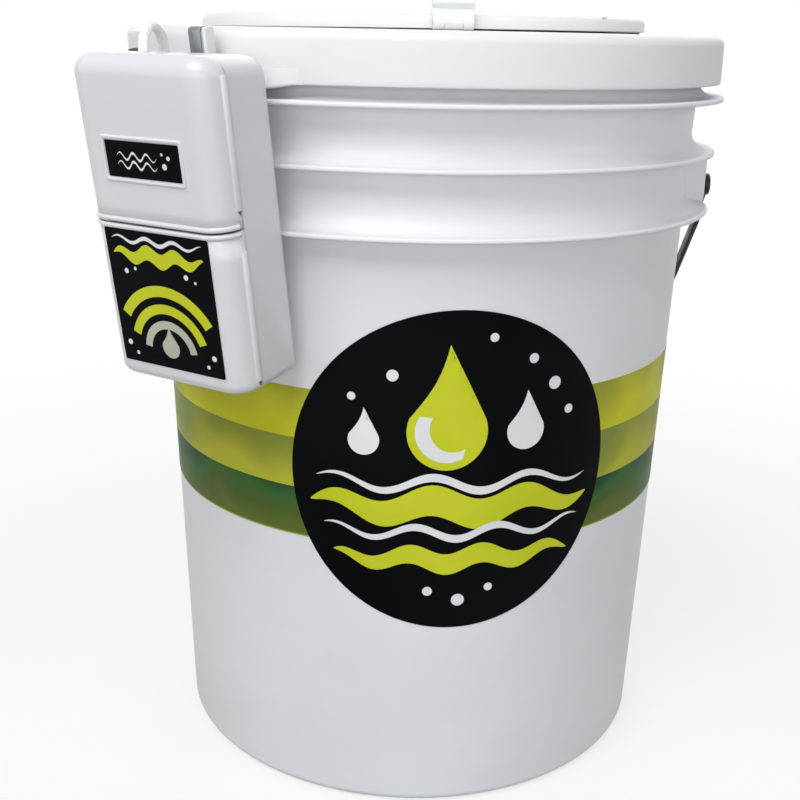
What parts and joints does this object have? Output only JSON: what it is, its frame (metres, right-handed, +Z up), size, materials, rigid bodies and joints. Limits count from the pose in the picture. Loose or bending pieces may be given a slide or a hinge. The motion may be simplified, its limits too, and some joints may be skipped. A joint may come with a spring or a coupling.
{
  "type": "aerated bait bucket",
  "caption": "Insulated pail with a push-on lid, a hinged round hatch, a swinging bail and a battery air pump hung on the lid that feeds an air stone inside.",
  "frame": {"origin": "centre of the pail's base, on its axis at the level of the foot ring", "axes": "+Z up along the pail's axis, -Y towards the front with the round label, +X to the viewer's right"},
  "size_m": [0.321, 0.3408, 0.3942],
  "materials": {
    "pail_white": "satin moulded polyethylene",
    "lid_white": "satin moulded polyethylene",
    "pump_white": "glossy moulded plastic",
    "foam": "closed-cell foam",
    "stripe_film": "printed film in three greens",
    "label_film": "printed film",
    "black_plastic": "moulded, lightly grained",
    "rubber_black": "soft rubber",
    "rubber_grey": "soft rubber",
    "hose": "translucent tube",
    "stone": "porous bonded grit",
    "spring_steel": "polished strip",
    "pin_steel": "bright",
    "cell_sleeve": "printed metal sleeve",
    "motor_steel": "plated can",
    "magnet": "sintered",
    "winding": "enamelled copper"
  },
  "bodies": {
    "bucket": {"bucket_shell": "pail_white", "foam_liner": "foam", "foam_base": "foam", "stripe_label": "stripe_film", "round_label": "label_film"},
    "bail": {"bail_strap": "black_plastic", "bail_grip": "black_plastic"},
    "lid": {"lid_shell": "lid_white", "rim_gasket": "rubber_grey", "lid_foam": "foam", "hinge_pin": "pin_steel", "latch_pin": "pin_steel", "airline_drop": "hose", "air_stone": "stone", "rear_case": "pump_white", "motor_cover": "pump_white", "pump_label": "label_film", "case_screws": "pin_steel", "hanger_strip": "spring_steel", "hanger_rivets": "pin_steel", "outlet_fitting": "black_plastic", "airline_loop": "hose", "push_switch": "black_plastic", "battery_left": "cell_sleeve", "battery_right": "cell_sleeve", "battery_springs": "pin_steel", "battery_plates": "pin_steel", "motor_can": "motor_steel", "motor_magnets": "magnet", "motor_mount": "rubber_grey", "cam_yoke": "black_plastic", "diaphragm": "rubber_grey", "pump_head": "pump_white", "inner_hose": "hose"},
    "hatch": {"hatch_cover": "lid_white", "hatch_foam": "foam", "hatch_liner": "lid_white", "hatch_gasket": "rubber_black"},
    "latch": {"latch": "lid_white"},
    "battery_cover": {"battery_cover": "pump_white", "small_label": "label_film"},
    "power_button": {"power_button": "rubber_black"},
    "rotor": {"motor_rotor": "winding"}
  },
  "joints": [
    {"name": "bail_swing", "type": "hinge", "parent": "bucket", "child": "bail", "pos_m": [0, 0, 0.3045], "axis": [1, 0, 0], "range_deg": [0, 150]},
    {"name": "lid_lift", "type": "slide", "parent": "bucket", "child": "lid", "axis": [-0.0772, -0.1236, 0.9893], "range_m": [0, 0.03]},
    {"name": "hatch_hinge", "type": "hinge", "parent": "lid", "child": "hatch", "pos_m": [-0.01462, 0.11875, 0.3855], "axis": [-0.9938, -0.1115, 0], "range_deg": [0, 110]},
    {"name": "latch_hinge", "type": "hinge", "parent": "lid", "child": "latch", "pos_m": [0.01193, -0.11796, 0.3838], "axis": [0.9938, 0.1115, 0], "range_deg": [0, 90]},
    {"name": "battery_cover_pull", "type": "slide", "parent": "lid", "child": "battery_cover", "axis": [-0.5243, -0.839, -0.1458], "range_m": [0, 0.04]},
    {"name": "button_press", "type": "slide", "parent": "lid", "child": "power_button", "axis": [0.0772, 0.1236, -0.9893], "range_m": [0, 0.0015], "stiffness_N_per_m": 400, "springref_m": -0.001},
    {"name": "rotor_spin", "type": "hinge", "parent": "lid", "child": "rotor", "pos_m": [-0.09766, -0.13478, 0.25453], "axis": [0.848, -0.5299, 0], "continuous": true}
  ]
}
